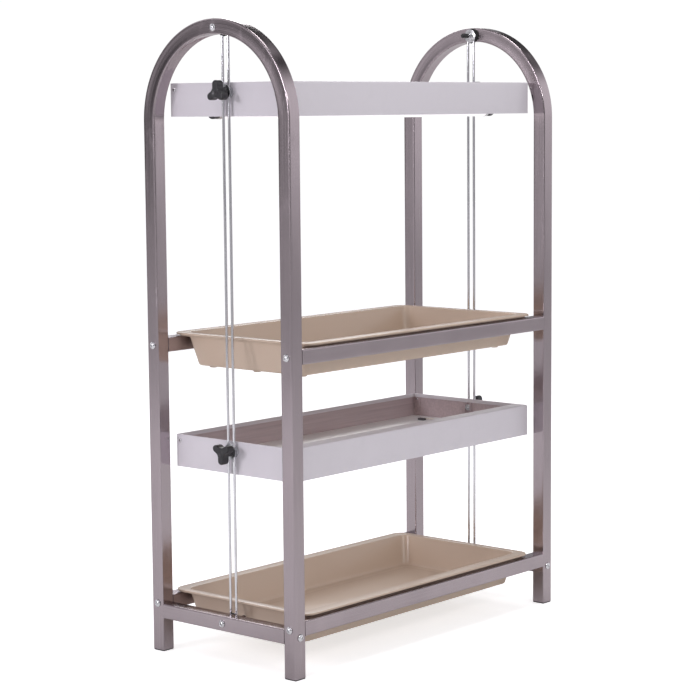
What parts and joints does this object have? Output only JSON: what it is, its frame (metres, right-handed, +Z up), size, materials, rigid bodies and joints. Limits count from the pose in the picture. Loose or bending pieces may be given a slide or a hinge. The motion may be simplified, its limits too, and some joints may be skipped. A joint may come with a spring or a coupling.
{
  "type": "plant light stand",
  "caption": "Arched tube-frame stand with moulded plant trays, each under a height-adjustable lamp fixture clamped to guide rods.",
  "frame": {"origin": "middle of the footprint, on the floor under the four feet", "axes": "+X runs along the stand from the left end frame to the right one, +Y from front to back, +Z up"},
  "size_m": [0.7328, 0.3428, 1.0849],
  "materials": {
    "tube": "brushed, mauve grey, with a bright line along each corner",
    "bolt_chrome": "bright plated, cross recess",
    "rod_chrome": "bright plated rod",
    "cap_plastic": "black moulded cap",
    "plug_plastic": "dark glass-filled plug",
    "pad_rubber": "black rubber, dull",
    "fixture_enamel": "white powder coat with a faint lilac cast, semi-gloss",
    "reflector_enamel": "white enamel, semi-gloss",
    "cover_enamel": "white powder coat, semi-gloss",
    "ballast_case": "pale grey painted steel can",
    "holder_plastic": "dark moulded lampholder",
    "lead_sleeve": "cream insulation",
    "lamp_tube": "frosted white lamp glass with metal end caps",
    "gland_plastic": "black bushing",
    "spacer_zinc": "zinc plated, turned",
    "knob_plastic": "black moulded grip",
    "tray_plastic": "pinkish beige moulded tray, slightly glossy"
  },
  "bodies": {
    "stand": {"end_frame_left": "tube", "end_frame_right": "tube", "mid_rail_front": "tube", "mid_rail_back": "tube", "low_rail_front": "tube", "low_rail_back": "tube", "end_rail_left": "tube", "end_rail_right": "tube", "foot_caps": "cap_plastic", "rail_plugs": "plug_plastic", "end_rail_plugs": "plug_plastic", "rail_bolts": "bolt_chrome", "end_rail_bolts": "bolt_chrome", "guide_rods_left": "rod_chrome", "guide_rods_right": "rod_chrome", "rod_bolts": "bolt_chrome", "rod_pads": "pad_rubber", "cup_washers": "bolt_chrome", "rod_nuts": "bolt_chrome", "thread_caps": "cap_plastic"},
    "upper_fixture": {"upper_housing": "fixture_enamel", "upper_reflector": "reflector_enamel", "upper_wireway_cover": "cover_enamel", "upper_ballast": "ballast_case", "upper_lampholders": "holder_plastic", "upper_lamp_leads": "lead_sleeve", "upper_rivets": "bolt_chrome", "upper_spacers": "spacer_zinc", "upper_clamp_nuts": "spacer_zinc", "upper_cord_gland": "gland_plastic"},
    "upper_lamp_front": {"upper_lamp_front": "lamp_tube"},
    "upper_lamp_back": {"upper_lamp_back": "lamp_tube"},
    "upper_left_clamp_washer": {"upper_left_washer": "spacer_zinc"},
    "upper_left_clamp_knob": {"upper_left_stud": "spacer_zinc", "upper_left_knob": "knob_plastic"},
    "upper_right_clamp_washer": {"upper_right_washer": "spacer_zinc"},
    "upper_right_clamp_knob": {"upper_right_stud": "spacer_zinc", "upper_right_knob": "knob_plastic"},
    "lower_fixture": {"lower_housing": "fixture_enamel", "lower_reflector": "reflector_enamel", "lower_wireway_cover": "cover_enamel", "lower_ballast": "ballast_case", "lower_lampholders": "holder_plastic", "lower_lamp_leads": "lead_sleeve", "lower_rivets": "bolt_chrome", "lower_spacers": "spacer_zinc", "lower_clamp_nuts": "spacer_zinc", "lower_cord_gland": "gland_plastic"},
    "lower_lamp_front": {"lower_lamp_front": "lamp_tube"},
    "lower_lamp_back": {"lower_lamp_back": "lamp_tube"},
    "lower_left_clamp_washer": {"lower_left_washer": "spacer_zinc"},
    "lower_left_clamp_knob": {"lower_left_stud": "spacer_zinc", "lower_left_knob": "knob_plastic"},
    "lower_right_clamp_washer": {"lower_right_washer": "spacer_zinc"},
    "lower_right_clamp_knob": {"lower_right_stud": "spacer_zinc", "lower_right_knob": "knob_plastic"},
    "upper_tray": {"upper_tray": "tray_plastic"},
    "lower_tray": {"lower_tray": "tray_plastic"}
  },
  "joints": [
    {"name": "upper_fixture_height", "type": "slide", "parent": "stand", "child": "upper_fixture", "axis": [0, 0, 1], "range_m": [-0.29, 0.065]},
    {"name": "upper_lamp_front_twist", "type": "hinge", "parent": "upper_fixture", "child": "upper_lamp_front", "pos_m": [0, -0.08, 0.9275], "axis": [1, 0, 0], "range_deg": [0, 90]},
    {"name": "upper_lamp_back_twist", "type": "hinge", "parent": "upper_fixture", "child": "upper_lamp_back", "pos_m": [0, 0.08, 0.9275], "axis": [1, 0, 0], "range_deg": [0, 90]},
    {"name": "upper_left_washer_slide", "type": "slide", "parent": "upper_fixture", "child": "upper_left_clamp_washer", "axis": [-1, 0, 0], "range_m": [0, 0.0025]},
    {"name": "upper_left_knob_turn", "type": "hinge", "parent": "upper_left_clamp_washer", "child": "upper_left_clamp_knob", "pos_m": [-0.3492, 0, 0.9645], "axis": [-1, 0, 0], "range_deg": [0, 720]},
    {"name": "upper_right_washer_slide", "type": "slide", "parent": "upper_fixture", "child": "upper_right_clamp_washer", "axis": [1, 0, 0], "range_m": [0, 0.0025]},
    {"name": "upper_right_knob_turn", "type": "hinge", "parent": "upper_right_clamp_washer", "child": "upper_right_clamp_knob", "pos_m": [0.3492, 0, 0.9645], "axis": [1, 0, 0], "range_deg": [0, 720]},
    {"name": "lower_fixture_height", "type": "slide", "parent": "stand", "child": "lower_fixture", "axis": [0, 0, 1], "range_m": [-0.145, 0.09]},
    {"name": "lower_lamp_front_twist", "type": "hinge", "parent": "lower_fixture", "child": "lower_lamp_front", "pos_m": [0, -0.08, 0.326], "axis": [1, 0, 0], "range_deg": [0, 90]},
    {"name": "lower_lamp_back_twist", "type": "hinge", "parent": "lower_fixture", "child": "lower_lamp_back", "pos_m": [0, 0.08, 0.326], "axis": [1, 0, 0], "range_deg": [0, 90]},
    {"name": "lower_left_washer_slide", "type": "slide", "parent": "lower_fixture", "child": "lower_left_clamp_washer", "axis": [-1, 0, 0], "range_m": [0, 0.0025]},
    {"name": "lower_left_knob_turn", "type": "hinge", "parent": "lower_left_clamp_washer", "child": "lower_left_clamp_knob", "pos_m": [-0.3492, 0, 0.363], "axis": [-1, 0, 0], "range_deg": [0, 720]},
    {"name": "lower_right_washer_slide", "type": "slide", "parent": "lower_fixture", "child": "lower_right_clamp_washer", "axis": [1, 0, 0], "range_m": [0, 0.0025]},
    {"name": "lower_right_knob_turn", "type": "hinge", "parent": "lower_right_clamp_washer", "child": "lower_right_clamp_knob", "pos_m": [0.3492, 0, 0.363], "axis": [1, 0, 0], "range_deg": [0, 720]},
    {"name": "upper_tray_lift", "type": "slide", "parent": "stand", "child": "upper_tray", "axis": [0, 0, 1], "range_m": [0, 0.065]},
    {"name": "lower_tray_lift", "type": "slide", "parent": "stand", "child": "lower_tray", "axis": [0, 0, 1], "range_m": [0, 0.065]}
  ],
  "couplings": [
    {"joint": "upper_left_knob_turn", "follows": "upper_left_washer_slide", "rad_per_m": 4947.4},
    {"joint": "upper_right_knob_turn", "follows": "upper_right_washer_slide", "rad_per_m": 4947.4},
    {"joint": "lower_left_knob_turn", "follows": "lower_left_washer_slide", "rad_per_m": 4947.4},
    {"joint": "lower_right_knob_turn", "follows": "lower_right_washer_slide", "rad_per_m": 4947.4}
  ]
}
